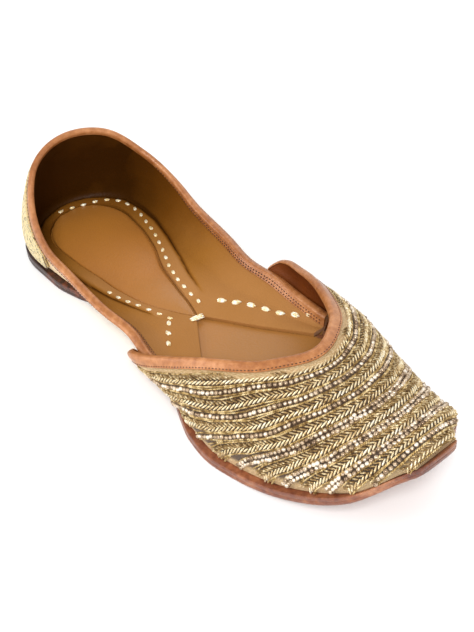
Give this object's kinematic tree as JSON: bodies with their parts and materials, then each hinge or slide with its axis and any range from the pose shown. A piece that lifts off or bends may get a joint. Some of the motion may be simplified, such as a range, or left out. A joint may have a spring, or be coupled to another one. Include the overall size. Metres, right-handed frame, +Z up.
{
  "type": "flat mojari shoe",
  "caption": "Flat slip-on mojari with a low curved collar, a turned-up pointed toe, an embroidered hood over the toes and a thin leather sole.",
  "frame": {"origin": "on the floor under the middle of the shoe's box, where the sole rests", "axes": "+Z up, +Y towards the heel so the toe points to -Y, +X to the wearer's left"},
  "size_m": [0.0878, 0.25, 0.056],
  "materials": {
    "sole_leather": "smooth red-brown sole leather, dyed edge",
    "tan_leather": "smooth tan lining leather, slightly waxed",
    "light_gold_leather": "pale gold leather with a soft metallic sheen",
    "gold_brocade": "gold brocade with dark flecks",
    "copper_leather": "soft copper leather, satin",
    "gold_embroidery": "gold rope and bead embroidery on cloth"
  },
  "bodies": {
    "root": {"outsole": "sole_leather", "insole": "tan_leather", "heel_sock": "tan_leather", "quarter": "light_gold_leather", "counter_patch": "gold_brocade", "collar_binding": "copper_leather", "vamp": "gold_embroidery", "throat_binding": "copper_leather"}
  },
  "joints": []
}
